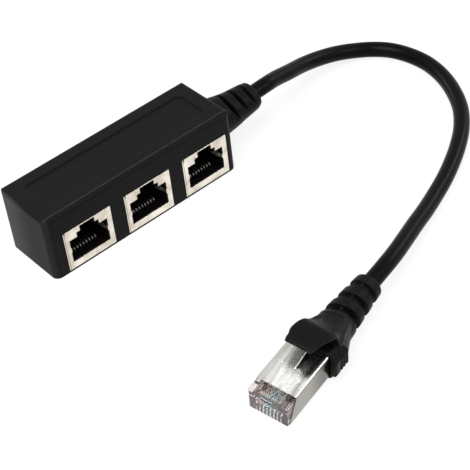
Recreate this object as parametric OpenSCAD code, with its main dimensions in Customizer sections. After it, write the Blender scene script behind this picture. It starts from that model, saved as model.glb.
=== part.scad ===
// A network splitter: a moulded box with three shielded jacks, and a short
// cable that leads to one shielded plug with a moulded boot.
// Millimetres. The origin is at the bottom centre of the box, the jacks face -Y.

/* [Jacks] */
// Width of the opening that a plug goes into
port_w = 11.9; // [11.8:0.1:13]
// Height of the opening's main part
port_h = 7.1; // [7:0.1:8.4]
// Height of the opening's floor above the jack's underside
port_floor = 2.4; // [2.2:0.1:3.2]
// Depth of the opening
port_d = 12.8; // [12.2:0.1:15]
// Width of the step over the opening, for the latch's wide part
step_w = 6.6; // [6.4:0.1:8]
// Height of that step
step_h = 1.5; // [1.2:0.1:2]
// Width of the slot over the step, for the latch's lever
slot_w = 4.1; // [3.8:0.1:5]
// Height of that slot
slot_h = 1.5; // [1.2:0.1:2]
// Thickness of the jack beside its opening, metal included
jack_side = 2.05; // [1.8:0.05:3]
// Thickness of the jack over its slot, metal included
jack_roof = 0.6; // [0.5:0.05:1.2]
// Thickness of the jack behind its opening
jack_back = 3.6; // [3.4:0.1:5]
// Thickness of the jack's sheet metal
sheet_t = 0.25; // [0.15:0.05:0.35]
// How far the metal's cut-out stays clear of the opening's edge
cut_margin = 0.45; // [0.3:0.05:0.7]
// Distance between neighbouring contacts, in jack and plug
contact_pitch = 1.02; // [1:0.01:1.1]
// Width of a jack's contact wire
contact_w = 0.45; // [0.3:0.05:0.6]
// Thickness of a jack's contact wire
contact_t = 0.3; // [0.2:0.05:0.35]
// Diameter of the jack's locating posts
post_d = 2.4; // [1.6:0.1:2.8]

/* [Box] */
// Wall thickness of the box
wall = 1.6; // [1.2:0.1:2.4]
// Width of the bar between two jacks
bar_w = 4.8; // [3:0.1:9]
// Width of the front beside the first jack
end_left = 4.55; // [3.5:0.05:8]
// Width of the front beside the last jack, at the cable's end
end_right = 2.85; // [2.8:0.05:8]
// Space behind the jacks
back_gap = 3.6; // [2.4:0.1:8]
// Space over the circuit board
head_room = 3.8; // [2.6:0.1:8]
// How far the jacks' faces stand out of the front
face_proud = 0.2; // [0.1:0.05:0.8]
// Radius of the box's upright edges
edge_r = 2; // [0.8:0.1:3]
// Radius of the box's top edges
top_r = 1.2; // [0.5:0.1:2]
// Thickness of the bottom cover
cover_t = 1.2; // [1:0.1:2]
// Depth of the seats that the jacks stand in
seat_d = 0.4; // [0.2:0.05:0.6]
// Height of the cover's rim inside the walls
rim_h = 2; // [1:0.1:4]
// Thickness of the cover's rim and fences
rim_t = 0.8; // [0.6:0.1:1.2]
// Distance from the top panel's edge to the box's ends
panel_end = 5; // [3:0.1:9]
// Distance from the top panel's edge to the box's front and back
panel_side = 4.7; // [3:0.1:7]
// Depth of the top panel
panel_d = 0.3; // [0.1:0.05:0.6]
// Corner radius of the top panel
panel_r = 1.6; // [0.6:0.1:2.5]
// Thickness of the circuit board
board_t = 1.2; // [0.8:0.1:1.6]

/* [Cable] */
// Diameter of the cable
cable_d = 4.8; // [4.2:0.1:5.2]
// Height of the cable's axis where it leaves the box
cable_z = 11; // [9.5:0.1:12]
// Length of the strain relief outside the box
relief_l = 17.5; // [14:0.5:26]
// Angle by which the strain relief is bent up
relief_lift = 8; // [0:1:12]
// Angle by which the strain relief is bent to the front
relief_swing = 6; // [0:1:10]
// Diameter of the strain relief against the box
relief_root_d = 12.4; // [10.6:0.1:13.5]
// Diameter of the strain relief at its end
relief_tip_d = 7.6; // [7:0.1:9]
// Length of the strain relief before its first groove
relief_root_l = 5.4; // [4:0.1:7]
// Width of the strain relief's grooves
relief_groove_w = 1.7; // [0.8:0.1:2]
// Depth of the grooves in strain relief and boot
groove_d = 1; // [0.6:0.05:1.1]

/* [Plug] */
// Width of the plug over its metal shell
plug_w = 11.7; // [11.2:0.1:11.8]
// Height of the plug over its metal shell
plug_h = 8.1; // [7.8:0.1:8.6]
// Length of the plug's body
plug_l = 21.5; // [20:0.1:24]
// Thickness of the plug's metal shell
shell_t = 0.2; // [0.15:0.05:0.3]
// How far the clear nose shows in front of the shell's top
nose_l = 3.6; // [3:0.1:5]
// Width of the latch at its root
latch_w = 6.2; // [5.6:0.1:6.4]
// Width of the latch's lever
lever_w = 3.3; // [2.8:0.1:4]
// Thickness of the latch
latch_t = 0.9; // [0.7:0.05:1.1]
// Height of the lever's end over the shell
latch_rise = 3; // [2:0.1:3.4]
// Diameter of one conductor
wire_d = 0.8; // [0.6:0.05:0.8]
// Height of the row of conductors over the plug's underside
wire_z = 3.4; // [3.2:0.1:4]
// Thickness of a plug contact
blade_t = 0.32; // [0.25:0.01:0.36]

/* [Boot] */
// Distance from the plug's front to the boot's body
boot_start = 18; // [16:0.1:19]
// Distance from the plug's front to the hood's lip
hood_start = 13; // [11:0.1:14.5]
// Width of the hood's lip
lip_w = 6.8; // [5:0.1:8]
// Gap between the latch's end and the hood
hood_gap = 1; // [0.4:0.1:1.6]
// Wall of the boot around the plug
boot_wall = 0.8; // [0.6:0.1:1.4]
// Length of the grips at the sides of the boot
grip_l = 5.6; // [4:0.1:6.4]
// Height of the grips
grip_h = 6.4; // [4.4:0.1:7]
// How far the grips stand out of the boot
grip_out = 1.3; // [0.6:0.1:2]
// Distance from the plug's front to the round neck
neck_start = 28.5; // [27.5:0.5:31]
// Length of the neck
neck_l = 17.5; // [16:0.5:23]
// Length of the neck before its first groove
neck_root_l = 3.5; // [2.5:0.1:5]
// Diameter of the neck at the boot
neck_root_d = 10.8; // [10:0.1:12]
// Diameter of the neck at its end
neck_tip_d = 7.6; // [7.4:0.1:9.5]
// Width of the neck's grooves
neck_groove_w = 2; // [1.2:0.1:2.4]

/* [Hidden] */
$fn = 48;
// Clearance between pieces that fit into each other
fit = 0.1;
// Clearance between pieces that touch
seat = 0.05;
// Overlap of the parts that one piece is made of
weld = 0.2;
// Reach of a cut past the surface that it opens
past = 1;

jacks = [0 : 2];
ways = [0 : 7];

// Sizes of a jack, which follow from its opening
jack_w = port_w + 2 * jack_side;
jack_h = port_floor + port_h + step_h + slot_h + jack_roof;
jack_d = port_d + jack_back;
jack_pitch = jack_w + bar_w;
row_w = 7 * contact_pitch;

// Sizes of the box, which follow from the jacks and the board
box_l = end_left + 2 * jack_pitch + jack_w + end_right;
box_w = jack_d - face_proud + back_gap + wall;
jack_z = cover_t - seat_d;
board_z = jack_z + jack_h + fit;
board_top = board_z + board_t;
box_h = board_top + head_room + wall;
face_y = -box_w / 2 - face_proud;
function jack_x(j) = -box_l / 2 + end_left + jack_w / 2 + j * jack_pitch;

// Places inside a jack, measured back from its face and up from its underside
sill_d = 2.8;
tail_y = jack_d - 0.7;
tail_top = jack_h + fit + board_t + 0.7;
run_z = 0.65;
rise_y = sill_d + 0.35;
tip = [port_d - 1.3, port_floor + 2.6];
comb_top = tip[1] + 0.15;
post_y = 8.9;
post_x = port_w / 2 - 0.6;
leg_y = 7.4;
leg_w = 1.2;
finger_z = port_floor + 3.1;
finger_h = 1.5;
finger_in = 0.45;

// Points on the cable's axis: in the wall's outer face and at the strain relief's end
relief_root = [box_l / 2, 0, cable_z];
relief_way = [cos(relief_lift) * cos(relief_swing), -cos(relief_lift) * sin(relief_swing), sin(relief_lift)];
relief_end = relief_root + relief_l * relief_way;
jacket_start = box_l / 2 - wall / 2;
flange_w = 10.4;
flange_h = 9;
flange_t = 0.95;
lead_d = 0.8;
lead_pitch = 0.9;
lead_shift = 1.6;
lead_x = box_l / 2 - wall - flange_t / 2 - 2 * seat;

// The plug's own frame: X out of its nose, Z towards its latch, underside at 0
plug_at = [-25, -88, 0.6];
plug_roll = -5;
plug_dip = 3;
plug_yaw = 193;
axis_z = plug_h / 2;
jacket_end = 14.5;
shell_r = 0.7;
blade_l = 5.6;
blade_start = 1.5;
blade_low = 0.35;
shell_margin = 0.9;
bar_start = blade_start + blade_l + 0.5;
bar_l = 3.8;
bar_h = 2.4;
bar_side = 0.5;

function turn_x(p, a) = [p[0], p[1] * cos(a) - p[2] * sin(a), p[1] * sin(a) + p[2] * cos(a)];
function turn_y(p, a) = [p[0] * cos(a) + p[2] * sin(a), p[1], p[2] * cos(a) - p[0] * sin(a)];
function turn_z(p, a) = [p[0] * cos(a) - p[1] * sin(a), p[0] * sin(a) + p[1] * cos(a), p[2]];
function from_plug(p) = plug_at + turn_z(turn_y(turn_x(p, plug_roll), plug_dip), plug_yaw);

// The cable's way from the box, down to the table, round and up to the boot
loop = [
    [57.2, -0.2, 12.5], [64.5, 1.2, 10.8], [72.4, 3, 8.6], [79.7, 3.6, 6.5], [86.4, 2.9, 4.8],
    [92.5, 1, 3.5], [97.5, -2.2, 2.8], [101, -6.5, 2.5], [103, -12.5, 2.4], [103.4, -19.5, 2.4],
    [101.8, -27, 2.4], [98.5, -34.5, 2.4], [93.5, -42, 2.4], [87, -48.3, 2.4], [80, -53.2, 2.4],
    [73, -57.2, 2.4], [66.5, -60.4, 2.5], [60, -63.2, 2.8], [53, -66.2, 3.6], [46, -69, 4.7],
    [39, -72, 5.9], [32.5, -74.6, 6.8], [26.5, -76.5, 7.3]
];
route = concat(
    [[jacket_start, 0, cable_z], relief_root, relief_end, relief_end + [3.9, 0.2, -0.1]],
    loop,
    [from_plug([-neck_start - neck_l, 0, axis_z]), from_plug([-jacket_end, 0, axis_z])]
);

// Sweep of a round section along points, and the skin over a row of rings
cable_sides = 10;
function unit(v) = v / norm(v);
function step_dir(p, i) = unit(p[i + 1] - p[i]);
function heading(p, i) =
    i == 0 ? step_dir(p, 0)
    : i == len(p) - 1 ? step_dir(p, i - 1)
    : unit(step_dir(p, i - 1) + step_dir(p, i));
function ring(c, dir, r, n) =
    let (side = unit(cross(dir, [0, 0, 1])), up = cross(side, dir))
    [for (k = [0 : n - 1]) c + r * (cos(360 * k / n) * side + sin(360 * k / n) * up)];
module loft(rings) {
    last = len(rings) - 1;
    n = len(rings[0]);
    walls = [
        for (i = [0 : last - 1]) for (k = [0 : n - 1])
        let (a = i * n + k, b = i * n + (k + 1) % n)
        each [[a, b, b + n], [a, b + n, a + n]]
    ];
    polyhedron([for (ring = rings) each ring], concat(
        walls,
        [[for (k = [n - 1 : -1 : 0]) k]],
        [[for (k = [0 : n - 1]) last * n + k]]
    ), convexity = 6);
}
module tube(p, r, n) {
    loft([for (i = [0 : len(p) - 1]) ring(p[i], heading(p, i), r, n)]);
}

// Outline of a strip of even thickness along points, with mitred corners
function across(a, b) = let (d = unit(b - a)) [-d[1], d[0]];
function mitre(p, i) =
    i == 0 ? across(p[0], p[1])
    : i == len(p) - 1 ? across(p[i - 1], p[i])
    : let (m = across(p[i - 1], p[i]) + across(p[i], p[i + 1])) m * 2 / (m * m);
function strip(p, t) = concat(
    [for (i = [0 : len(p) - 1]) p[i] + mitre(p, i) * t / 2],
    [for (i = [len(p) - 1 : -1 : 0]) p[i] - mitre(p, i) * t / 2]
);

// A rectangle with round corners, about its middle
module rounded(l, w, r) {
    square([l - 2 * r, w], center = true);
    square([l, w - 2 * r], center = true);
    for (x = [-1, 1], y = [-1, 1])
        translate([x * (l / 2 - r), y * (w / 2 - r)])
            circle(r);
}

// A rectangle that stands on the axis, with its two top corners round
module arched(w, h, r) {
    translate([-w / 2, 0])
        square([w, h - r]);
    translate([r - w / 2, 0])
        square([w - 2 * r, h]);
    for (x = [-1, 1])
        translate([x * (w / 2 - r), h - r])
            circle(r);
}

// A profile in Y and Z, drawn out along X about the middle
module along_x(l) {
    rotate([90, 0, 90])
        translate([0, 0, -l / 2])
            linear_extrude(l)
                children();
}

// A profile in X and Z, drawn out along Y about the middle
module along_y(l) {
    rotate([90, 0, 0])
        translate([0, 0, -l / 2])
            linear_extrude(l)
                children();
}

// The box

module housing_block() {
    intersection() {
        linear_extrude(box_h)
            rounded(box_l, box_w, edge_r);
        along_x(box_l + 2 * past)
            arched(box_w, box_h, top_r);
        along_y(box_w + 2 * past)
            arched(box_l, box_h, top_r);
    }
}

module housing_shell() {
    inner_l = box_l - 2 * wall;
    inner_w = box_w - 2 * wall;
    rib_t = 1.2;
    color([0.12, 0.12, 0.13]) {
        difference() {
            housing_block();
            translate([-inner_l / 2, -inner_w / 2, -past])
                cube([inner_l, inner_w, box_h - wall + past]);
            for (j = jacks)
                translate([jack_x(j) - jack_w / 2 - fit, -box_w / 2 - past, -past])
                    cube([jack_w + 2 * fit, wall + 2 * past, jack_z + jack_h + fit + past]);
            translate([0, 0, box_h - panel_d])
                linear_extrude(past)
                    rounded(box_l - 2 * panel_end, box_w - 2 * panel_side, panel_r);
            translate([box_l / 2 - wall - past, 0, cable_z])
                rotate([0, 90, 0])
                    cylinder(d = relief_neck_d + 2 * seat, h = wall + 2 * past);
        }
        for (j = jacks)
            translate([jack_x(j) - jack_w / 2 + 0.5, -inner_w / 2 - weld, board_top + seat])
                cube([rib_t, inner_w + 2 * weld, head_room - seat + weld]);
    }
}

module bottom_cover() {
    l = box_l - 2 * wall - 2 * fit;
    w = box_w - 2 * wall - 2 * fit;
    color([0.1, 0.1, 0.11])
        difference() {
            union() {
                translate([-l / 2, -w / 2, 0])
                    cube([l, w, cover_t]);
                for (j = jacks) {
                    translate([jack_x(j) - jack_w / 2, -box_w / 2, 0])
                        cube([jack_w, wall + fit + weld, jack_z]);
                    translate([jack_x(j) - jack_w / 2, face_y + jack_d + fit, cover_t - weld])
                        cube([jack_w, rim_t, rim_h + weld]);
                }
                translate([-l / 2, w / 2 - rim_t, cover_t - weld])
                    cube([l, rim_t, rim_h + weld]);
                translate([-l / 2, -w / 2, cover_t - weld])
                    cube([rim_t, w, rim_h + weld]);
            }
            for (j = jacks)
                translate([jack_x(j) - jack_w / 2 - fit, -w / 2 - past, jack_z])
                    cube([jack_w + 2 * fit, face_y + jack_d + fit + w / 2 + past, seat_d + past]);
        }
}

module circuit_board() {
    left = -box_l / 2 + wall + 0.4;
    right = box_l / 2 - wall - flange_t - 0.35;
    front = -box_w / 2 + wall + 0.3;
    back = box_w / 2 - wall - 0.4;
    color([0.08, 0.32, 0.16])
        translate([0, 0, board_z])
            difference() {
                translate([left, front, 0])
                    cube([right - left, back - front, board_t]);
                for (j = jacks)
                    translate([jack_x(j), face_y, -past]) {
                        for (k = ways)
                            translate([(k - 3.5) * contact_pitch, tail_y, 0])
                                cylinder(d = 0.75, h = board_t + 2 * past, $fn = 24);
                        for (s = [-1, 1]) {
                            translate([s * post_x, post_y, 0])
                                cylinder(d = post_d + fit, h = board_t + 2 * past);
                            translate([s * (jack_w / 2 - sheet_t / 2) - sheet_t / 2 - fit, leg_y - fit, 0])
                                cube([sheet_t + 2 * fit, leg_w + 2 * fit, board_t + 2 * past]);
                        }
                    }
            }
}

// A straight round wire between two points
module rod(a, b, d) {
    v = b - a;
    translate(a)
        rotate([0, acos(v[2] / norm(v)), atan2(v[1], v[0])])
            cylinder(d = d, h = norm(v), $fn = 20);
}

// The cable's conductors between the strain relief and the board
module board_leads() {
    top = board_top + lead_d / 2 + seat;
    foot = cable_z + flange_h / 2 - 1.8;
    color([0.8, 0.45, 0.15])
        for (k = ways) {
            y = lead_shift + (k - 3.5) * lead_pitch;
            rod([lead_x, y, foot], [lead_x, y, top], lead_d);
            translate([lead_x, y, top])
                sphere(d = lead_d, $fn = 20);
            rod([lead_x, y, top], [lead_x - 3.4, y, top], lead_d);
        }
}

// Strain relief and boot neck: rings that taper towards the tip, with grooves.
// The last ring is longer than the others by the given extra.
module grooved_cone(l, root_d, tip_d, first, groove_w, extra = 0) {
    grooves = 3;
    step = (l - first - extra) / grooves;
    function wide(x) = (root_d + (tip_d - root_d) * x / l) / 2;
    rim = 0.3;
    rotate([0, 90, 0])
        rotate_extrude()
            difference() {
                polygon([
                    [0, 0], [wide(0), 0], [wide(l - rim), l - rim],
                    [wide(l) - rim, l], [0, l]
                ]);
                for (g = [0 : grooves - 1])
                    translate([wide(first + g * step) - groove_d, first + g * step])
                        square([groove_d + past, groove_w]);
            }
}

relief_neck_d = 9;

// The strain relief's own frame: X along its axis from the wall's outer face
module at_relief() {
    translate(relief_root)
        rotate([0, -relief_lift, -relief_swing])
            children();
}

module cable_strain_relief() {
    web_w = 1.6;
    web_h = relief_tip_d / 2 - 0.2;
    inside = 2;
    bend = 0.3;
    last_ring = 1.25;
    color([0.09, 0.09, 0.1])
        difference() {
            union() {
                difference() {
                    at_relief() {
                        grooved_cone(relief_l, relief_root_d, relief_tip_d, relief_root_l, relief_groove_w, last_ring);
                        translate([-inside, 0, 0])
                            rotate([0, 90, 0])
                                cylinder(d = relief_root_d - seat, h = inside + weld);
                        translate([relief_root_l - weld, -web_h, -web_w / 2])
                            cube([relief_l - relief_root_l - 1, 2 * web_h, web_w]);
                    }
                    translate(relief_root + [seat - 2 * inside, -relief_root_d, -relief_root_d])
                        cube([2 * inside, 2 * relief_root_d, 2 * relief_root_d]);
                }
                translate([box_l / 2 - wall - 3 * seat, 0, cable_z])
                    rotate([0, 90, 0])
                        cylinder(d = relief_neck_d, h = wall + 4 * seat + weld);
                translate([box_l / 2 - wall - seat - flange_t, -flange_w / 2, cable_z - flange_h / 2 - 1.8])
                    cube([flange_t, flange_w, flange_h]);
            }
            translate([jacket_start, 0, cable_z])
                rotate([0, 90, 0])
                    cylinder(d = cable_d + 4 * seat, h = box_l / 2 - jacket_start + 2 * bend);
            at_relief()
                translate([-bend, 0, 0])
                    rotate([0, 90, 0])
                        cylinder(d = cable_d + seat, h = relief_l + bend + past);
        }
}

module cable() {
    color([0.07, 0.07, 0.08])
        tube(route, cable_d / 2, cable_sides);
}

// The jacks, each drawn with its face at Y = 0 and its underside at Z = 0

module at_jack(j) {
    translate([jack_x(j), face_y, jack_z])
        children();
}

// The outline of the opening, grown by a margin at its sides
module port_outline(m) {
    z1 = port_floor + port_h;
    z2 = z1 + step_h;
    translate([-port_w / 2 - m, port_floor - min(m, 0.3)])
        square([port_w + 2 * m, port_h + min(m, 0.3) + m / 2]);
    translate([-step_w / 2 - m, z1 - weld])
        square([step_w + 2 * m, step_h + m / 2 + weld]);
    translate([-slot_w / 2 - m, z2 - weld])
        square([slot_w + 2 * m, slot_h + (m > 0 ? jack_roof - sheet_t : 0) + weld]);
}

module jack_shield(j) {
    window_y = 4.2;
    window_w = 2 * post_x + post_d + 2 * fit;
    notch_w = 0.4;
    notch_h = 0.75;
    edge = port_w / 2 + cut_margin;
    color([0.78, 0.76, 0.7])
        at_jack(j) {
            difference() {
                translate([-jack_w / 2, 0, 0])
                    cube([jack_w, jack_d, jack_h]);
                translate([-jack_w / 2 + sheet_t, sheet_t, sheet_t])
                    cube([jack_w - 2 * sheet_t, jack_d - 2 * sheet_t, jack_h - 2 * sheet_t]);
                along_y(4 * sheet_t)
                    port_outline(cut_margin);
                translate([-window_w / 2, window_y, jack_h - 2 * sheet_t])
                    cube([window_w, jack_d, 2 * sheet_t + past]);
                translate([-window_w / 2, jack_d - 2 * sheet_t, jack_h - 3])
                    cube([window_w, 2 * sheet_t + past, 3 + past]);
                translate([-jack_w / 2 + sheet_t, -past, jack_h - notch_h])
                    cube([notch_w, past + 2 * sheet_t, notch_h + past]);
            }
            for (s = [-1, 1]) {
                translate([s * (jack_w / 2 - sheet_t / 2) - sheet_t / 2, leg_y, jack_h - weld])
                    cube([sheet_t, leg_w, board_t + 0.7 + weld]);
                mirror([s > 0 ? 0 : 1, 0, 0])
                    translate([0, 0, finger_z])
                        linear_extrude(finger_h)
                            polygon(strip([
                                [edge + 0.4, sheet_t / 2], [edge - sheet_t / 2, sheet_t / 2],
                                [edge - sheet_t / 2, 1], [port_w / 2 - finger_in + sheet_t / 2, 3.9],
                                [edge - sheet_t / 2, 7.2]
                            ], sheet_t));
            }
        }
}

module jack_housing(j) {
    gap = sheet_t + seat;
    lip = 1.3;
    deep_step_h = step_h + slot_h - 0.3;
    color([0.07, 0.07, 0.07])
        at_jack(j) {
            difference() {
                translate([-jack_w / 2 + gap, gap, gap])
                    cube([jack_w - 2 * gap, jack_d - 2 * gap, jack_h - 2 * gap]);
                translate([0, gap + lip / 2, 0])
                    along_y(lip + 2 * past)
                        port_outline(0);
                translate([-port_w / 2, 0, port_floor])
                    cube([port_w, port_d, port_h]);
                translate([-step_w / 2, gap + lip, port_floor + port_h - weld])
                    cube([step_w, port_d - gap - lip, deep_step_h + weld]);
                translate([-port_w / 2 + seat, sill_d, -past])
                    cube([port_w - 2 * seat, jack_d, port_floor + past + seat]);
                translate([-port_w / 2 + seat, port_d - weld, -past])
                    cube([port_w - 2 * seat, jack_d, jack_h + 2 * past]);
                for (s = [-1, 1])
                    translate([s * (port_w / 2 + 0.45) - 0.6, -past, finger_z - 2 * fit])
                        cube([1.2, 7.6 + past, finger_h + 4 * fit]);
            }
            for (s = [-1, 1])
                translate([s * post_x, post_y, jack_h - gap - weld])
                    cylinder(d = post_d, h = gap + weld + fit + board_t - 0.2);
        }
}

module jack_contact_carrier(j) {
    w = port_w - 2 * fit - 2 * seat;
    front = rise_y + contact_t / 2 + seat;
    low = run_z + contact_t / 2 + seat;
    back = tail_y - contact_t / 2 - seat;
    comb_l = 3.6;
    color([0.1, 0.1, 0.1])
        at_jack(j) {
            translate([-w / 2, front, low])
                cube([w, port_d + seat - front + weld, port_floor - 0.2 - low]);
            translate([-w / 2, port_d + seat, low])
                cube([w, back - port_d - seat, jack_h - sheet_t - seat - low]);
            for (k = [0 : 8])
                translate([(k - 4) * contact_pitch - 0.22, port_d - comb_l, port_floor - 0.2 - weld])
                    cube([0.44, comb_l + seat + weld, comb_top - port_floor + 0.2 + weld]);
        }
}

module jack_contact(j, k) {
    color([0.85, 0.68, 0.3])
        at_jack(j)
            translate([(k - 3.5) * contact_pitch, 0, 0])
                along_x(contact_w)
                    polygon(strip([
                        [tail_y, tail_top], [tail_y, run_z], [rise_y, run_z],
                        [rise_y, port_floor + 0.5], [rise_y + 0.4, port_floor + 0.9], tip
                    ], contact_t));
}

// The plug, drawn in its own frame

module at_plug() {
    translate(plug_at)
        rotate([plug_roll, plug_dip, plug_yaw])
            children();
}

function wire_y(k) = (k - 3.5) * contact_pitch;

module latch() {
    root_z = plug_h - shell_t - weld;
    low = plug_h + 0.15;
    far = hood_start + 2.5;
    shoulder = 9.4;
    function under(x) = low + latch_rise * (x - nose_l) / (far - nose_l);
    along_y(latch_w)
        polygon([
            [-0.9, root_z], [-0.9, low + 0.2], [-1.6, low + latch_t], [-shoulder, under(shoulder) + latch_t],
            [-shoulder, under(shoulder)], [-nose_l, low], [-nose_l + 0.3, root_z]
        ]);
    along_y(lever_w)
        polygon([
            [-shoulder + weld, under(shoulder)], [-shoulder + weld, under(shoulder) + latch_t],
            [-far, under(far) + 0.8 * latch_t], [-far, under(far)]
        ]);
}

module plug_body() {
    inner_w = plug_w - 2 * shell_t - seat;
    top = plug_h - shell_t - seat;
    low = shell_t + seat;
    cavity_w = row_w + wire_d + 2 * bar_side;
    slot_t = blade_t + 0.1;
    sole_w = plug_w - 2 * shell_margin - 2 * seat;
    color([0.82, 0.86, 0.88, 0.5])
        at_plug() {
            difference() {
                union() {
                    translate([-plug_l / 2, 0, 0])
                        along_x(plug_l)
                            translate([0, (top + low) / 2])
                                rounded(inner_w, top - low, shell_r - shell_t);
                    translate([-blade_start - blade_l, -sole_w / 2, 0])
                        cube([blade_start + blade_l - 0.3, sole_w, low + weld]);
                }
                for (k = ways) {
                    translate([-blade_start - blade_l - seat, wire_y(k) - slot_t / 2, -past])
                        cube([blade_start + blade_l + past, slot_t, wire_z - wire_d / 2 + past]);
                    translate([-bar_start, wire_y(k), wire_z])
                        rotate([0, 90, 0])
                            cylinder(d = wire_d + 2 * seat, h = bar_start - 1.1, $fn = 20);
                }
                translate([-bar_start - bar_l - fit, -cavity_w / 2 - seat, wire_z - bar_h / 2 - seat])
                    cube([bar_l + 2 * fit, cavity_w + 2 * seat, bar_h + 2 * seat]);
                translate([-plug_l - past, -cavity_w / 2, axis_z - cable_d / 2 - 0.3])
                    cube([plug_l + past - bar_start - bar_l, cavity_w, cable_d + 0.6]);
                translate([-0.45, -latch_w / 2 - 1, axis_z + 0.9])
                    cube([past, latch_w - 1, 1.1]);
                for (s = [-1, 1])
                    translate([-2.6, s * (latch_w / 2 + 1.6) - 0.8, top - 1.2])
                        cube([past + 2.6, 1.6, 1.2 + past]);
            }
            latch();
        }
}

// The shell is wrapped round the body. It leaves the nose open, and its
// front edge slopes forward down the sides.
module plug_shield() {
    rear = plug_l - 1;
    color([0.85, 0.85, 0.82])
        at_plug()
            difference() {
                translate([-rear / 2, 0, 0])
                    along_x(rear)
                        difference() {
                            translate([0, plug_h / 2])
                                rounded(plug_w, plug_h, shell_r);
                            translate([0, plug_h / 2])
                                rounded(plug_w - 2 * shell_t, plug_h - 2 * shell_t, shell_r - shell_t);
                        }
                along_y(plug_w + 2 * past)
                    polygon([
                        [past, -past], [-0.7, -past], [-0.7, 1], [-nose_l, plug_h - 0.6],
                        [-nose_l, plug_h + past], [past, plug_h + past]
                    ]);
                translate([-blade_start - blade_l - 0.2, shell_margin - plug_w / 2, -past])
                    cube([blade_start + blade_l + past, plug_w - 2 * shell_margin, past + shell_t + seat]);
            }
}

module plug_load_bar() {
    w = row_w + wire_d + 2 * bar_side;
    color([0.9, 0.92, 0.92, 0.6])
        at_plug()
            difference() {
                translate([-bar_start - bar_l, -w / 2, wire_z - bar_h / 2])
                    cube([bar_l, w, bar_h]);
                for (k = ways)
                    translate([-bar_start - bar_l - past, wire_y(k), wire_z])
                        rotate([0, 90, 0])
                            cylinder(d = wire_d + 2 * seat, h = bar_l + 2 * past, $fn = 20);
            }
}

module plug_contact(k) {
    top = wire_z - wire_d / 2 - 0.02;
    color([0.85, 0.7, 0.35])
        at_plug()
            translate([0, wire_y(k), 0])
                along_y(blade_t)
                    polygon([
                        [-blade_start, blade_low + 0.7], [-blade_start - 0.7, blade_low],
                        [-blade_start - blade_l + 0.4, blade_low], [-blade_start - blade_l, blade_low + 0.4],
                        [-blade_start - blade_l, top - 0.6], [-blade_start - blade_l + 0.8, top],
                        [-blade_start - 0.9, top], [-blade_start, top - 0.9]
                    ]);
}

wire_colors = [
    [0.95, 0.8, 0.65], [0.95, 0.5, 0.1], [0.75, 0.9, 0.75], [0.15, 0.35, 0.8],
    [0.75, 0.82, 0.95], [0.15, 0.6, 0.25], [0.88, 0.8, 0.72], [0.45, 0.25, 0.12]
];
module wire(k) {
    layer = (k % 2) * 2 - 1;
    spread = 1;
    clear = 0.35;
    start = [-jacket_end + clear, (floor(k / 2) - 1.5) * contact_pitch, axis_z + layer * spread];
    bend = [-bar_start - bar_l - clear, wire_y(k), wire_z];
    end = [-1.2, wire_y(k), wire_z];
    color(wire_colors[k])
        tube([from_plug(start), from_plug(bend), from_plug(end)], wire_d / 2, 10);
}

// A rounded slice of the boot, across the plug's axis
module boot_slice(x, w, low, high, r, t) {
    translate([-x - t / 2, 0, 0])
        along_x(t)
            translate([0, (low + high) / 2])
                rounded(w, high - low, r, $fn = 24);
}

module boot_grip(side) {
    body = plug_w / 2 + boot_wall;
    front_l = 2;
    groove_w = 0.5;
    step = (grip_l - front_l) / 3;
    difference() {
        translate([-boot_start - grip_l / 2, side * (body + grip_out / 2 - weld / 2), axis_z])
            cube([grip_l, grip_out + weld, grip_h], center = true);
        for (g = [0 : 2])
            translate([-boot_start - front_l - g * step - groove_w / 2, side * (body + grip_out), axis_z])
                cube([groove_w, grip_out, grip_h + past], center = true);
    }
}

// A row of the hood: square below, its two top corners round
function dome(x, half, low, high, r) = concat(
    [[-x, half, low]],
    [for (a = [0 : 15 : 90]) [-x, half - r + r * cos(a), high - r + r * sin(a)]],
    [for (a = [90 : 15 : 180]) [-x, r - half + r * cos(a), high - r + r * sin(a)]],
    [[-x, -half, low]]
);

// The hood: a lip over the latch's end that widens to the boot's full width,
// then comes down to the neck behind the plug
module boot_hood() {
    low = plug_h + latch_rise + latch_t + hood_gap;
    half = plug_w / 2 + boot_wall;
    foot = axis_z + 1;
    heel = boot_start + 3.4;
    neck_r = neck_root_d / 2;
    neck_top = axis_z + neck_r;
    loft([
        dome(hood_start, lip_w / 2, low, low + 0.8, 0.35),
        dome(hood_start + 0.5, lip_w / 2 + 0.05, low, low + 1, 0.45),
        dome(hood_start + 2.2, lip_w / 2 + 0.35, low, low + 1.25, 0.7),
        dome(boot_start - 0.8, half - 1.7, low, low + 1.45, 1),
        dome(boot_start + 1.4, half - 0.6, low - 0.5, low + 1.4, 1.5),
        dome(heel, half, low - 1, low + 1.1, 1.9),
        dome(heel + 0.1, half, foot, low + 1.1, 1.9),
        dome(heel + 1.8, half, foot, low + 0.4, 2.3),
        dome(heel + 3.6, half - 0.3, foot, low - 0.9, 2.8),
        dome(neck_start, neck_r - 0.1, foot, neck_top + 1.3, 3.4),
        dome(neck_start + neck_root_l - 0.9, neck_r - 0.9, foot, neck_top - 0.1, 3.6)
    ]);
}

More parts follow.
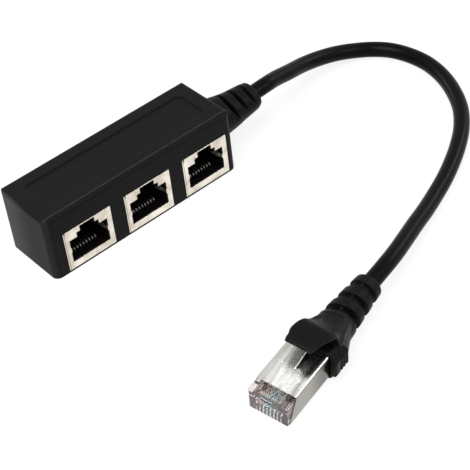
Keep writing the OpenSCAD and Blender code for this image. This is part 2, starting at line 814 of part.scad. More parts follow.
module plug_boot() {
    body_w = plug_w + 2 * boot_wall;
    low = -boot_wall;
    top = plug_h + boot_wall;
    corner = 1.6;
    shoulder = neck_start - 3.5;
    web_w = 1.8;
    web_h = neck_tip_d / 2 - 0.2;
    last_ring = 0.5;
    color([0.07, 0.07, 0.08])
        at_plug()
            difference() {
                union() {
                    boot_slice(boot_start, body_w, low, top, corner, shoulder - boot_start);
                    hull() {
                        boot_slice(shoulder - 0.5, body_w, low, top, corner, 0.5);
                        translate([-neck_start, 0, axis_z])
                            rotate([0, 90, 0])
                                cylinder(d = neck_root_d, h = 0.5, $fn = 32);
                    }
                    boot_hood();
                    for (side = [-1, 1])
                        boot_grip(side);
                    translate([-neck_start + weld, 0, axis_z])
                        mirror([1, 0, 0])
                            grooved_cone(
                                neck_l + weld, neck_root_d, neck_tip_d, neck_root_l + weld, neck_groove_w,
                                last_ring
                            );
                    translate([-neck_start - neck_l + past, -web_h, axis_z - web_w / 2])
                        cube([neck_l, 2 * web_h, web_w]);
                }
                translate([-plug_l - seat, -plug_w / 2 - seat, -seat])
                    cube([plug_l, plug_w + 2 * seat, plug_h + 2 * seat]);
                translate([-neck_start - neck_l - past, 0, axis_z])
                    rotate([0, 90, 0])
                        cylinder(d = cable_d + seat, h = neck_start + neck_l);
            }
}

housing_shell();
bottom_cover();
circuit_board();
board_leads();
cable_strain_relief();
cable();
for (j = jacks) {
    jack_shield(j);
    jack_housing(j);
    jack_contact_carrier(j);
    for (k = ways)
        jack_contact(j, k);
}
plug_body();
plug_shield();
plug_load_bar();
plug_boot();
for (k = ways) {
    plug_contact(k);
    wire(k);
}
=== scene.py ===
"""Looks for a network splitter: a black box with three shielded jacks, a short cable and its plug."""

import bmesh
import bpy
import numpy as np
from mathutils import Euler, Matrix


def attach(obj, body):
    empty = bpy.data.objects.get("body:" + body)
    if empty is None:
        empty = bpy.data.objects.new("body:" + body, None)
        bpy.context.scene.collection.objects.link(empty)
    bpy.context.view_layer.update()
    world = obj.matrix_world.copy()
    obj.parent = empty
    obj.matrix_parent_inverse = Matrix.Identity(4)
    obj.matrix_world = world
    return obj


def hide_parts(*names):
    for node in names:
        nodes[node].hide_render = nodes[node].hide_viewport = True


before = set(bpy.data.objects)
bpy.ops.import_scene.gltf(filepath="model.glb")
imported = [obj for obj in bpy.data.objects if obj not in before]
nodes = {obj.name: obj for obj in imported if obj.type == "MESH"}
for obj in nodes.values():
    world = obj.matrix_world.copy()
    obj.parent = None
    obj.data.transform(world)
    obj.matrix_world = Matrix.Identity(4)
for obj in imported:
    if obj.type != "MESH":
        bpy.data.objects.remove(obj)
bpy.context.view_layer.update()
mm = 0.001


# The camera stands in front of the box's left end and looks down on it, as in the photograph.
# Its place and turn were solved from the corners of the box and of its jacks.
frame_side = 470
focal_length = 1487.8
camera_place = (-168.31 * mm, -276.78 * mm, 275.24 * mm)
camera_right = (0.74831, -0.65708, -0.09096)
camera_up = (0.49499, 0.46183, 0.73600)
camera_back = (-0.44160, -0.59578, 0.67084)

lens = bpy.data.cameras.new("camera")
lens.sensor_width = 36
lens.lens = lens.sensor_width * focal_length / frame_side
lens.clip_start = 0.01
camera = bpy.data.objects.new("camera", lens)
camera.matrix_world = Matrix.Translation(camera_place) @ Matrix(
    [camera_right, camera_up, camera_back]
).transposed().to_4x4()
bpy.context.collection.objects.link(camera)
bpy.context.scene.camera = camera


# The cable is a round extruded cord with a smooth black vinyl jacket. It leaves the strain
# relief nearly level, sinks to the table, turns round and climbs into the plug's boot. Its mesh
# begins inside the relief, because the relief's tip is shortened further down.
cable_d = 4.8 * mm
cable_sides = 40
cable_overlap = (-2.4 * mm, -0.4 * mm)
relief_end = np.array((49.735, -1.811, 13.436))
boot_end = (19.63, -78.06, 7.04)
cable_way = np.array([
    relief_end, relief_end + (3.9, 0, 0.2),
    (58.4, -0.5, 12.45), (64.5, 0.9, 10.6), (72.4, 3, 8.1), (79.7, 3.6, 6.25), (86.4, 2.9, 4.8),
    (92.5, 1, 3.5), (97.5, -2.2, 2.8), (101, -6.5, 2.5), (103, -12.5, 2.4), (103.4, -19.5, 2.4),
    (101.8, -27, 2.4), (98.5, -34.5, 2.4), (93.5, -42, 2.4), (87, -48.3, 2.4), (80, -53.2, 2.4),
    (73, -57.2, 2.4), (66.5, -60.4, 2.5), (60, -63.2, 2.8), (53, -66.2, 3.6), (46, -69, 4.7),
    (39, -72, 5.9), (32.5, -74.6, 6.8), (26.5, -76.5, 7.3), boot_end,
]) * mm


def smooth_way(points, per_span):
    """Catmull-Rom curve: each span is a cubic, whose slope at a point is half the chord between
    that point's neighbours."""
    ends = np.vstack([2 * points[0] - points[1], points, 2 * points[-1] - points[-2]])
    t = np.linspace(0, 1, per_span, endpoint=False)[:, None]
    spans = [
        0.5 * (2 * b + (c - a) * t + (2 * a - 5 * b + 4 * c - d) * t ** 2 + (3 * b - a - 3 * c + d) * t ** 3)
        for a, b, c, d in zip(ends, ends[1:], ends[2:], ends[3:])
    ]
    return np.vstack(spans + [points[-1:]])


def sweep(way, radius, sides):
    """Tube: at each point of the way a circle of the given radius, square to the way's direction."""
    along = np.gradient(way, axis=0)
    along /= np.linalg.norm(along, axis=1)[:, None]
    side = np.cross(along, (0, 0, 1))
    side /= np.linalg.norm(side, axis=1)[:, None]
    up = np.cross(side, along)
    angle = np.linspace(0, 2 * np.pi, sides, endpoint=False)[None, :, None]
    circle = np.cos(angle) * side[:, None] + np.sin(angle) * up[:, None]
    return way[:, None] + radius * circle


def skin(name, grid, closed_ends=True):
    """Mesh object from a grid of points that closes round its second index. Fans shut its ends."""
    rows, cols = grid.shape[:2]
    i, j = np.meshgrid(np.arange(rows - 1), np.arange(cols), indexing="ij")
    right = (j + 1) % cols
    walls = np.stack([i * cols + j, (i + 1) * cols + j, (i + 1) * cols + right, i * cols + right], -1)
    faces = walls.reshape(-1, 4).tolist()
    points = grid.reshape(-1, 3)
    if closed_ends:
        middles = np.stack([grid[0].mean(0), grid[-1].mean(0)])
        points = np.vstack([points, middles])
        ring = np.arange(cols)
        first = np.stack([np.full(cols, rows * cols), ring, (ring + 1) % cols], -1)
        last = np.stack([np.full(cols, rows * cols + 1), (ring + 1) % cols, ring], -1)
        last[:, 1:] += (rows - 1) * cols
        faces += first.tolist() + last.tolist()
    mesh = bpy.data.meshes.new(name)
    mesh.from_pydata(points.tolist(), [], faces)
    mesh.shade_smooth()
    piece = bpy.data.objects.new(name, mesh)
    bpy.context.collection.objects.link(piece)
    return piece


class Value:
    """One output of a shader node. Its operators add Math nodes and give the new output."""

    def __init__(self, finish, socket):
        self.finish = finish
        self.socket = socket

    def maths(self, operation, first, second):
        return self.finish.node("ShaderNodeMath", {"operation": operation}, {0: first, 1: second})

    def __add__(self, other):
        return self.maths("ADD", self, other)

    def __radd__(self, other):
        return self.maths("ADD", other, self)

    def __sub__(self, other):
        return self.maths("SUBTRACT", self, other)

    def __rsub__(self, other):
        return self.maths("SUBTRACT", other, self)

    def __mul__(self, other):
        return self.maths("MULTIPLY", self, other)

    def __rmul__(self, other):
        return self.maths("MULTIPLY", other, self)

    def __mod__(self, other):
        return self.maths("FLOORED_MODULO", self, other)

    def line(self, low, high, soft=0.04 * mm):
        """1 between low and high, 0 outside, with soft edges."""
        return self.between(low - soft, low) * (1 - self.between(high, high + soft))

    def between(self, low, high):
        """0 on the far side of low, 1 on the far side of high and a smooth step between them.
        Low may be the larger of the two."""
        return self.finish.node(
            "ShaderNodeMapRange", {"interpolation_type": "SMOOTHSTEP"},
            {"Value": self, "From Min": low, "From Max": high},
        )


class Finish:
    """A procedural material on one Principled shader, whose even values are set on its own sockets."""

    def __init__(self, name, **even):
        self.material = bpy.data.materials.new(name)
        self.material.use_nodes = True
        self.tree = self.material.node_tree
        self.shader = self.tree.nodes["Principled BSDF"]
        for socket, value in even.items():
            self.set(socket.replace("_", " "), value)

    def set(self, socket, value):
        self.plug(self.shader.inputs[socket], value)

    def plug(self, socket, value):
        if isinstance(value, Value):
            self.tree.links.new(value.socket, socket)
        else:
            socket.default_value = value

    def node(self, kind, settings, sockets, out=0):
        node = self.tree.nodes.new(kind)
        for name, value in settings.items():
            setattr(node, name, value)
        for name, value in sockets.items():
            self.plug(node.inputs[name], value)
        return Value(self, node.outputs[out])

    def place(self, centre=(0, 0, 0), turn=(0, 0, 0), stretch=(1, 1, 1)):
        """Object coordinates, moved and turned into a piece's own frame, then stretched."""
        here = self.node("ShaderNodeTexCoord", {}, {}, "Object")
        own = self.node(
            "ShaderNodeMapping", {"vector_type": "TEXTURE"},
            {"Vector": here, "Location": centre, "Rotation": turn},
        )
        return self.node("ShaderNodeVectorMath", {"operation": "MULTIPLY"}, {0: own, 1: stretch})

    def noise(self, place, size, detail, roughness=0.5):
        """Noise from 0 to 1 whose largest spots have about the given size in metres."""
        return self.node(
            "ShaderNodeTexNoise", {},
            {"Vector": place, "Scale": 1 / size, "Detail": detail, "Roughness": roughness},
        )

    def along(self, place, axis):
        """One coordinate of a place: "X", "Y" or "Z"."""
        return self.node("ShaderNodeSeparateXYZ", {}, {"Vector": place}, axis)

    def blend(self, factor, first, second):
        """The first colour where the factor is 0, the second where it is 1."""
        return self.node(
            "ShaderNodeMix", {"data_type": "RGBA"},
            {"Factor": factor, 6: (*first, 1) if isinstance(first, tuple) else first,
             7: (*second, 1) if isinstance(second, tuple) else second},
            2,
        )

    def bump(self, height, depth, edge=None):
        """Bump of the given depth in metres, over edges rounded by the given radius."""
        sockets = {"Height": height, "Distance": depth}
        if edge:
            sockets["Normal"] = self.node("ShaderNodeBevel", {"samples": 4}, {"Radius": edge})
        self.set("Normal", self.node("ShaderNodeBump", {}, sockets))

    def coat(self, *names):
        """Gives the finish to CAD nodes or pieces, by name."""
        for name in names:
            piece = nodes[name] if name in nodes else bpy.data.objects[name]
            piece.data.materials.clear()
            piece.data.materials.append(self.material)


cable_line = smooth_way(cable_way, per_span=10)
outward = (cable_line[1] - cable_line[0]) / np.linalg.norm(cable_line[1] - cable_line[0])
inside_relief = cable_line[0] + np.linspace(*cable_overlap, 5)[:, None] * outward
cable = skin("patch_cable", sweep(np.vstack([inside_relief, cable_line]), cable_d / 2, cable_sides))
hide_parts("cable")
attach(cable, "root")

jacket = Finish("cable jacket", Specular_IOR_Level=0.06)
jacket_place = jacket.place()
jacket_waves = jacket.noise(jacket_place, 9 * mm, 1)
jacket_grain = jacket.noise(jacket_place, 0.5 * mm, 3)
jacket.set("Base Color", jacket.blend(jacket_waves, (0.0015, 0.0015, 0.002), (0.003, 0.003, 0.004)))
jacket.set("Roughness", 0.26 + 0.12 * jacket_waves)
jacket.bump(jacket_waves * 0.6 + jacket_grain * 0.08, 0.25 * mm)
jacket.coat("patch_cable")


# The box is an open moulding of black ABS with a fine spark-eroded grain and a shallow panel
# on its top. A flat cover of the same plastic closes it from below. A pale line on the top near
# the front, and a fainter one along the left front edge, are painted highlights, mottled by the
# grain. The left end is painted paler towards its back, as painted light.
box_points = np.array([point.co for point in nodes["housing_shell"].data.vertices])
left_side, front_side = box_points.min(axis=0)[:2]
top_side = box_points.max(axis=0)[2]
abs_black = (0.002, 0.002, 0.0022)
abs_worn = (0.004, 0.004, 0.0044)
highlight_grey = (0.04, 0.04, 0.04)
lit_grey = (0.045, 0.045, 0.045)

for node_name, tone in (("housing_shell", 1.0), ("bottom_cover", 0.9)):
    abs_finish = Finish(node_name + " plastic", Specular_IOR_Level=0.09)
    abs_place = abs_finish.place()
    abs_cloud = abs_finish.noise(abs_place, 14 * mm, 3)
    abs_grain = abs_finish.noise(abs_place, 0.22 * mm, 4, 0.65)
    from_left = abs_finish.along(abs_place, "X") - float(left_side)
    from_front = abs_finish.along(abs_place, "Y") - float(front_side)
    under_top = float(top_side) - abs_finish.along(abs_place, "Z")

    # Painted highlights along the top's front edge and the left front edge, and painted light on the left
    # end.
    top_edge_highlight = under_top.between(0.8 * mm, 0.65 * mm) * from_front.line(1.2 * mm, 1.6 * mm, 0.2 * mm)
    corner_highlight = from_left.between(1.5 * mm, 1 * mm) * from_front.between(1.6 * mm, 1 * mm)
    painted_highlight = (top_edge_highlight + corner_highlight * 0.5) * abs_grain.between(0.35, 0.65)
    lit_end = from_left.between(0.6 * mm, 0.2 * mm) * from_front.between(7.7 * mm, 20.7 * mm)

    dark = tuple(tone * c for c in abs_black)
    pale = tuple(tone * c for c in abs_worn)
    moulded = abs_finish.blend(abs_cloud * 0.7 + abs_grain * 0.3, dark, pale)
    with_highlight = abs_finish.blend(painted_highlight * 0.8, moulded, highlight_grey)
    abs_finish.set("Base Color", abs_finish.blend(lit_end, with_highlight, lit_grey))
    abs_finish.set("Roughness", 0.4 + 0.1 * abs_cloud + 0.08 * abs_grain)
    abs_finish.bump(abs_grain, 0.03 * mm, 0.6 * mm)
    abs_finish.coat(node_name)


# The circuit board is glass laminate under green resist. The cable's eight conductors reach it
# as short insulated leads.
resist = Finish("green resist", Roughness=0.3, Coat_Weight=0.3)
resist_weave = resist.noise(resist.place(), 0.8 * mm, 2)
resist.set("Base Color", resist.blend(resist_weave, (0.012, 0.1, 0.035), (0.02, 0.15, 0.055)))
resist.bump(resist_weave, 0.02 * mm)
resist.coat("circuit_board")

lead = Finish("lead insulation", Roughness=0.42)
lead_tone = lead.noise(lead.place(), 1.5 * mm, 2)
lead.set("Base Color", lead.blend(lead_tone, (0.55, 0.2, 0.05), (0.7, 0.32, 0.1)))
lead.coat("board_leads")


# Each jack is a black moulding in a folded sheet of nickel-plated metal, which shows as a pale
# frame round the opening, with thin lines of painted shade along its left and its top fold. An
# insert behind it holds eight gold-plated spring wires in a comb, painted dark grey as shade
# and darker the deeper they lie.
jack_numbers = (1, 2, 3)
jack_pitch = 20.8 * mm
first_jack = -19.95 * mm
face_depth = (-10.86 * mm, -10.8 * mm)
fold_place = 7.62 * mm
fold_height = 15.46 * mm
fold_half = 0.06 * mm

nickel = Finish("plated sheet", Metallic=1.0)
nickel_place = nickel.place()
nickel_streaks = nickel.noise(nickel.place(stretch=(0.12, 1, 1)), 0.12 * mm, 3, 0.6)
nickel_cloud = nickel.noise(nickel_place, 4 * mm, 4, 0.6).between(0.3, 0.7)
half_pitch = jack_pitch / 2
from_centre = (nickel.along(nickel_place, "X") - first_jack + half_pitch) % jack_pitch - half_pitch
on_face = 1 - nickel.along(nickel_place, "Y").between(*face_depth)
left_fold = from_centre.line(-fold_place - fold_half, -fold_place + fold_half)
top_fold = nickel.along(nickel_place, "Z").line(fold_height - fold_half, fold_height + fold_half)
# Painted shade: thin dark lines along each jack's left and top fold.
fold_shade = on_face * (1 - (1 - left_fold) * (1 - top_fold))
sheet_tone = nickel.blend(nickel_cloud, (0.62, 0.56, 0.47), (0.92, 0.87, 0.77))
nickel.set("Base Color", nickel.blend(fold_shade * 0.85, sheet_tone, (0.1, 0.085, 0.07)))
nickel.set("Roughness", 0.27 + 0.12 * nickel_cloud + 0.08 * nickel_streaks)
nickel.bump(nickel_streaks, 0.008 * mm, 0.15 * mm)
nickel.coat(*[f"jack_{j}_shield" for j in jack_numbers])

socket_black = Finish("socket plastic", Roughness=0.5, Specular_IOR_Level=0.04)
socket_grain = socket_black.noise(socket_black.place(), 0.3 * mm, 3)
socket_tone = socket_black.blend(socket_grain, (0.002, 0.0015, 0.0015), (0.004, 0.003, 0.003))
socket_black.set("Base Color", socket_tone)
socket_black.bump(socket_grain, 0.02 * mm, 0.12 * mm)
socket_black.coat(*[f"jack_{j}_{part}" for j in jack_numbers for part in ("housing", "contact_carrier")])

gilt = Finish("gold plate", Metallic=1.0)
gilt_cloud = gilt.noise(gilt.place(), 1.2 * mm, 2)
# Painted shade: the gold of the jacks' wires and the plug's blades is dark grey, and the wires are darker
# still the deeper they lie.
depth_shade = gilt.along(gilt.place(), "Y").between(-7.6 * mm, -5.5 * mm)
shaded_gold_tone = gilt.blend(gilt_cloud, (0.05, 0.048, 0.046), (0.11, 0.1, 0.09))
gilt.set("Base Color", gilt.blend(depth_shade, shaded_gold_tone, (0.03, 0.027, 0.022)))
gilt.set("Roughness", 0.42 + 0.12 * gilt_cloud)
gilt.coat(
    *[f"jack_{j}_contact_{k}" for j in jack_numbers for k in range(1, 9)],
    *[f"plug_contact_{k}" for k in range(1, 9)],
)


# The strain relief and the plug's boot are soft black vinyl, moulded over the cable. Both taper
# towards the cable, the relief with slots that stop short of its sides, the boot's neck with deep
# grooves, bridged by small webs. All their edges are round.
plug_place = np.array((-25, -88, 0.6)) * mm
plug_turn = tuple(np.radians((-5, 3, 193)))
relief_place = np.array((32.5, 0, 11)) * mm
relief_turn = tuple(np.radians((0, -8, -6)))


def ramp(value, low, high):
    """0 up to low, 1 from high on, and between them the smooth cubic 3t^2 - 2t^3."""
    t = np.clip((value - low) / (high - low), 0, 1)
    return t * t * (3 - 2 * t)


def groove_depth(x, starts, groove_w, wall):
    """1 in the grooves that start at the given places and 0 outside, with a ramp at each wall."""
    depth = np.zeros_like(x)
    for start in starts:
        depth += ramp(x, start, start + wall) * (1 - ramp(x, start + groove_w - wall, start + groove_w))
    return depth


def deepen_grooves(x, y, z, starts, groove_w, floor, web):
    """Moves the floors of the ring grooves to the given radius, except under a web on top.

    x runs along the axis, y and z are measured from it. In a groove the radius becomes the
    floor's, blended in over 0.25 mm at its walls and over 0.3 mm at the web's sides.
    """
    radius = np.hypot(y, z)
    depth = groove_depth(x, starts, groove_w, 0.25)
    depth *= 1 - (1 - ramp(np.abs(y), web - 0.15, web + 0.15)) * (z > 0)
    outside = radius > floor
    ratio = np.where(outside, 1 - depth * (1 - floor / np.maximum(radius, floor)), 1)
    return y * ratio, z * ratio


def relax(points, links, passes, share):
    """In each pass a point goes its share of the way to the mean of its neighbours."""
    one, other = links.T
    both, facing = np.concatenate([one, other]), np.concatenate([other, one])
    count = np.bincount(both, minlength=len(points))
    for _ in range(passes):
        total = [np.bincount(both, points[facing, axis], len(points)) for axis in range(3)]
        points = points + share[:, None] * (np.stack(total, -1) / count[:, None] - points)
    return points


def soft_moulding(name, node_name, voxel, place, turn, shape_of, passes, filling=()):
    """A copy of a CAD node with its fillings, rebuilt in cubes of one size, shaped in its own
    frame and relaxed."""
    mesh = nodes[node_name].data.copy()
    shape = bmesh.new()
    for part in (mesh, *filling):
        shape.from_mesh(part)
    bmesh.ops.remove_doubles(shape, verts=shape.verts, dist=0.001 * mm)
    shape.to_mesh(mesh)
    shape.free()
    draft = bpy.data.objects.new(name, mesh)
    bpy.context.collection.objects.link(draft)
    rebuilt = draft.modifiers.new("rebuilt", "REMESH")
    rebuilt.mode = "VOXEL"
    rebuilt.voxel_size = voxel
    solid = bpy.data.meshes.new_from_object(draft.evaluated_get(bpy.context.evaluated_depsgraph_get()))
    bpy.data.objects.remove(draft)

    points = np.empty(len(solid.vertices) * 3)
    solid.vertices.foreach_get("co", points)
    links = np.empty(len(solid.edges) * 2, dtype=int)
    solid.edges.foreach_get("vertices", links)
    axes = np.array(Euler(turn).to_matrix())
    own = (points.reshape(-1, 3) - place) @ axes / mm
    own = relax(shape_of(own), links.reshape(-1, 2), passes, np.full(len(own), 0.5))
    solid.vertices.foreach_set("co", ((own * mm) @ axes.T + place).ravel())
    solid.shade_smooth()
    solid.name = name
    piece = bpy.data.objects.new(name, solid)
    bpy.context.collection.objects.link(piece)
    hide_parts(node_name)
    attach(piece, "root")
    return piece


def relief_cone(x):
    """Radius of the strain relief at x along its axis: 6.2 mm at the wall, 3.8 mm at its end."""
    return 6.2 - 2.4 * x / 17.5


def relief_shape(own):
    """The root is thicker, most of all under the front, and the tip is shortened to a round
    shoulder, a quarter of an ellipse. Slots with flat floors, 0.1 mm over the cable, face up to
    the front and down to the back. Rings and slots lean towards the front, in proportion to y + z."""
    x, y, z = own.T
    radius = np.maximum(np.hypot(y, z), 0.1)
    under_front = np.clip(-(y + z) / (1.414 * radius), 0, 1)
    swell = 1 + 0.065 * ramp(x, 0, 0.5) * (1 - ramp(x, 3, 9)) + 0.03 * ramp(x, 9, 14)
    swell += 0.07 * under_front * ramp(x, 3, 8)

    tip_start = 14
    x = np.where(x > tip_start, tip_start + 0.66 * (x - tip_start), x)
    shoulder_start = 14.9
    shoulder_l = 1.45
    shoulder = 2.9 + 1.4 * np.sqrt(1 - np.clip((x - shoulder_start) / shoulder_l, 0, 1) ** 2)
    swell = np.where(x > shoulder_start, np.minimum(swell, shoulder / radius), swell)
    y, z = y * swell, z * swell

    slot_floor = 2.5
    facing_y, facing_z = -0.545, 0.839
    rise = y * facing_y + z * facing_z
    depth = groove_depth(x, (5.65, 9.25, 12.6), 1.3, 0.2)
    drop = np.sign(rise) * depth * np.maximum(np.abs(rise) - slot_floor, 0)
    y, z = y - drop * facing_y, z - drop * facing_z
    lean = 0.085 * ramp(x, 2, 7)
    return np.stack([x - lean * (y + z), y, z], -1)


def boot_shape(own):
    """The hood flares at its lip, and narrows and sinks towards the neck. The hidden left grip is
    thinner, and both grips' edges are bevelled. The neck's grooves go down to 0.3 mm over the
    cable, and its left side is bent forward. Each change is a factor or a shift between ramps."""
    x, y, z = own.T
    back = -x
    axis_z = 4.05
    body_half = 6.65
    neck_start = 31.5
    side = np.where(y < 0, 1, 0.3)
    flare = 0.13 * (1 - ramp(back, 14, 18)) * ramp(z, 10.5, 11.5)
    narrow = side * ramp(back, 15.5, 21.5) * (1 - ramp(back, 27, 32)) * ramp(z, 8.6, 13)
    narrow *= 0.36 + 0.2 * ramp(back, 21, 23.5)
    shoulder = 0.3 * side * ramp(back, 22.5, 26) * (1 - ramp(back, 29, 32)) * ramp(z, 5, 9)
    y = y * (1 + flare - narrow - shoulder)
    z = z - 1.4 * ramp(back, 20, 23.5) * (1 - ramp(back, 29.5, 32)) * ramp(z, 8, 12)

    y = np.where(y < -body_half, -body_half + 0.35 * (y + body_half), y)
    grip_edge = body_half + 0.65 + 0.7 * ramp(z, 0.9, 1.8) * (1 - ramp(z, 6.5, 7.2))
    y = np.minimum(y, grip_edge)

    neck_y, neck_z = deepen_grooves(back, y, z - axis_z, (32, 36.5, 41), 2, 2.7, 0.5)
    neck = back > neck_start
    bend = ramp(back, 24, 31) * np.clip(2.1 - 0.165 * (back - neck_start), 0.3, 2.1)
    bend *= np.clip(0.5 - y / 11, 0, 1)
    return np.stack([x + bend, np.where(neck, neck_y, y), np.where(neck, neck_z + axis_z, z)], -1)


def turned_rings(profile, sides):
    """Grid of rings round the x axis, one for each pair of place and radius in the profile."""
    angle = np.linspace(0, 2 * np.pi, sides, endpoint=False)
    place, radius = np.array(profile).T[:, :, None]
    return np.stack([place + 0 * angle, radius * np.cos(angle), radius * np.sin(angle)], -1)


filler_start = 5
filler_end = 16.8
filler_bore = 2.9
filler_profile = [
    (filler_start, relief_cone(filler_start)), (filler_end, relief_cone(filler_end)),
    (filler_end, filler_bore), (filler_start, filler_bore), (filler_start, relief_cone(filler_start)),
]
relief_axes = np.array(Euler(relief_turn).to_matrix())
filler_rings = turned_rings(filler_profile, 96) * mm @ relief_axes.T + relief_place
filler = skin("groove_filler", filler_rings, closed_ends=False)
relief = soft_moulding("ringed_strain_relief", "cable_strain_relief", 0.13 * mm,
                       relief_place, relief_turn, relief_shape, 3, [filler.data])
bpy.data.objects.remove(filler)
boot = soft_moulding("plug_boot_moulding", "plug_boot", 0.18 * mm, plug_place, plug_turn, boot_shape, 6)

vinyl = Finish("soft vinyl", Specular_IOR_Level=0.08)
vinyl_place = vinyl.place()
vinyl_cloud = vinyl.noise(vinyl_place, 4 * mm, 2)
vinyl_grain = vinyl.noise(vinyl_place, 0.3 * mm, 3)
vinyl.set("Base Color", vinyl.blend(vinyl_cloud, (0.0025, 0.0025, 0.003), (0.005, 0.005, 0.006)))
vinyl.set("Roughness", 0.36 + 0.14 * vinyl_cloud)
vinyl.bump(vinyl_cloud * 0.5 + vinyl_grain * 0.12, 0.1 * mm)
vinyl.coat("ringed_strain_relief", "plug_boot_moulding")


# The plug is a clear polycarbonate moulding with its latch, in a wrapped shell of bright nickel
# plate whose brush marks run along it. The shell's strong light and dark cloud is partly its
# brushing and partly painted reflection; it is painted darker towards the back and the left, and
# much darker on its right side, as painted shade and reflection. Coloured conductors reach its
# gold blades, which are painted dark grey as shade, and the nose takes their tints from side to side.
shell = Finish("bright nickel", Metallic=1.0)
streak_place = shell.place(plug_place, plug_turn, (0.06, 1, 1))
cloud_place = shell.place(plug_place, plug_turn, (0.15, 1, 1))
shell_place = shell.place(plug_place, plug_turn)
shell_streaks = shell.noise(streak_place, 0.25 * mm, 4, 0.65)
shell_cloud = shell.noise(cloud_place, 1.6 * mm, 4, 0.6).between(0.3, 0.6)
# Painted shade and reflection: darker towards the back, towards the left and on the right side.
back_shade = shell.along(shell_place, "X").between(-8 * mm, -16 * mm)
left_shade = shell.along(shell_place, "Y").between(-2.5 * mm, -5.5 * mm)
right_side_shade = shell.along(shell_place, "Y").between(5.5 * mm, 5.8 * mm)
shell_tone = shell.blend(shell_cloud, (0.55, 0.53, 0.49), (0.97, 0.96, 0.94))
shell_tone = shell.blend(back_shade * 0.45, shell_tone, (0.42, 0.4, 0.36))
shell_tone = shell.blend(left_shade * 0.5, shell_tone, (0.42, 0.4, 0.36))
shaded_side_tone = shell.blend(back_shade, (0.27, 0.26, 0.22), (0.07, 0.065, 0.05))
shell.set("Base Color", shell.blend(right_side_shade * 0.9, shell_tone, shaded_side_tone))
shell.set("Roughness", 0.1 + 0.05 * shell_cloud + 0.14 * shell_streaks)
shell.bump(shell_streaks, 0.02 * mm, 0.12 * mm)
shell.coat("plug_shield")

clear = Finish("clear moulding", Transmission_Weight=0.93, IOR=1.45)
clear_place = clear.place(plug_place, plug_turn)
clear_cloud = clear.noise(clear_place, 1.1 * mm, 3)
across = clear.along(clear_place, "Y")
height = clear.along(clear_place, "Z")
ahead = clear.along(clear_place, "X")
smear = across + clear_cloud * 2.4 * mm
glassy_green = (0.86, 0.9, 0.88)
pink = (0.95, 0.8, 0.78)
glassy_blue = (0.86, 0.92, 0.92)
brownish = (0.66, 0.57, 0.56)
shadow = (0.03, 0.03, 0.03)
nose_tone = clear.blend(smear.between(-4.4 * mm, -3.2 * mm), glassy_green, pink)
nose_tone = clear.blend(smear.between(-2.4 * mm, 0), nose_tone, glassy_blue)
nose_tone = clear.blend(smear.between(2.6 * mm, 4.4 * mm), nose_tone, brownish)
# Painted shadow under the shell's front edge, heavier towards the right corner.
under_shell = ahead.line(-3.6 * mm, -2.6 * mm, 0.3 * mm) * height.between(5.5 * mm, 6 * mm)
right_corner = across.between(3 * mm, 4 * mm)
nose_tone = clear.blend(under_shell * (0.35 + 0.6 * right_corner), nose_tone, shadow)
# Painted shade: a dark slit in the nose.
slit_shade = ahead.line(-1.4 * mm, -0.2 * mm) * height.line(4.85 * mm, 6.15 * mm)
nose_tone = clear.blend(slit_shade * across.line(-2.6 * mm, 1.2 * mm), nose_tone, (0.02, 0.02, 0.02))
# The latch is faint white, with a painted highlight along its lever's edge.
latch = height.between(8 * mm, 8.2 * mm)
lever_edge_highlight = across.line(1.6 * mm, 1.75 * mm)
clear.set("Base Color", clear.blend(latch, nose_tone, (0.95, 0.96, 0.95)))
clear.set("Alpha", 1 - latch * (0.75 - 0.7 * lever_edge_highlight))
clear.set("Roughness", 0.05 + 0.12 * clear_cloud)
clear.coat("plug_body", "plug_load_bar")

wire_colors = (
    (0.585, 0.431, 0.387), (0.541, 0.3375, 0.277), (0.431, 0.5025, 0.453), (0.266, 0.31, 0.431),
    (0.431, 0.475, 0.53), (0.288, 0.387, 0.332), (0.5025, 0.431, 0.398), (0.365, 0.288, 0.2605),
)
for k, wire_color in enumerate(wire_colors, start=1):
    insulation = Finish(f"insulation {k}", Roughness=0.38)
    insulation_tone = insulation.noise(insulation.place(), 0.9 * mm, 2)
    faded = tuple(0.8 * c + 0.04 for c in wire_color)
    insulation.set("Base Color", insulation.blend(insulation_tone, wire_color, faded))
    insulation.coat(f"wire_{k}")


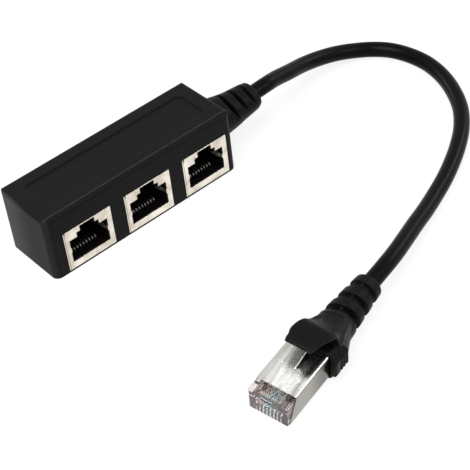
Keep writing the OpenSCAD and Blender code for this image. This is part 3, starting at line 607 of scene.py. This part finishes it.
# The stage is a plain white floor under soft lamps. What the camera, metal and glass see of it
# is nearly white by its own light, and the rest of what they see is lit, so the shadow stays.
floor_side = 8.0
floor_glow = 0.8
bpy.ops.mesh.primitive_plane_add(size=floor_side, location=(0, 0, 0))
floor = bpy.context.object
floor.name = "floor"
paper = Finish("white floor", Base_Color=(0.86, 0.86, 0.86, 1), Roughness=0.9, Specular_IOR_Level=0.1)
rays = [
    paper.node("ShaderNodeLightPath", {}, {}, f"Is {kind} Ray")
    for kind in ("Camera", "Transmission", "Glossy")
]
glow = paper.node("ShaderNodeEmission", {}, {"Color": (1, 1, 1, 1), "Strength": 1.04})
lit_paper = Value(paper, paper.shader.outputs["BSDF"])
seen = (rays[0] + rays[1] + rays[2]) * floor_glow
surface = paper.node("ShaderNodeMixShader", {}, {0: seen, 1: lit_paper, 2: glow})
paper.plug(paper.tree.nodes["Material Output"].inputs["Surface"], surface)
paper.coat("floor")

world = bpy.data.worlds.new("studio")
world.use_nodes = True
bpy.context.scene.world = world
sky = world.node_tree
sky_rays = sky.nodes.new("ShaderNodeLightPath").outputs
least = sky.nodes.new("ShaderNodeValue").outputs[0]
least.default_value = 0.35
brightness = least
for ray_name, share in (("Is Camera Ray", 0.65), ("Is Transmission Ray", 0.55), ("Is Glossy Ray", 0.55)):
    added = sky.nodes.new("ShaderNodeMath")
    added.operation = "MULTIPLY_ADD"
    added.inputs[1].default_value = share
    sky.links.new(sky_rays[ray_name], added.inputs[0])
    sky.links.new(brightness, added.inputs[2])
    brightness = added.outputs[0]
sky.links.new(brightness, sky.nodes["Background"].inputs["Strength"])
sky.nodes["Background"].inputs["Color"].default_value = (1, 1, 1, 1)


def soft_box(name, toward, size, power):
    """A square lamp 0.9 m from the object's middle, along the given direction and facing back."""
    middle = np.array((0.03, -0.04, 0.0))
    direction = np.array(toward) / np.linalg.norm(toward)
    side = np.cross((0, 0, 1), direction)
    side /= np.linalg.norm(side)
    lamp = bpy.data.lights.new(name, "AREA")
    lamp.size = size
    lamp.energy = power
    holder = bpy.data.objects.new(name, lamp)
    turn = Matrix([side, np.cross(direction, side), direction]).transposed().to_4x4()
    holder.matrix_world = Matrix.Translation(middle + 0.9 * direction) @ turn
    bpy.context.collection.objects.link(holder)


soft_box("over", (-0.5, -0.2, 1), 0.6, 8)
soft_box("right", (0.95, -0.1, 0.5), 0.3, 1.4)
soft_box("behind", (-0.1, 1, 0.4), 0.25, 1.2)
soft_box("front right", (0.44, -0.67, 0.6), 0.2, 1.5)

bpy.context.scene.view_settings.view_transform = "Standard"
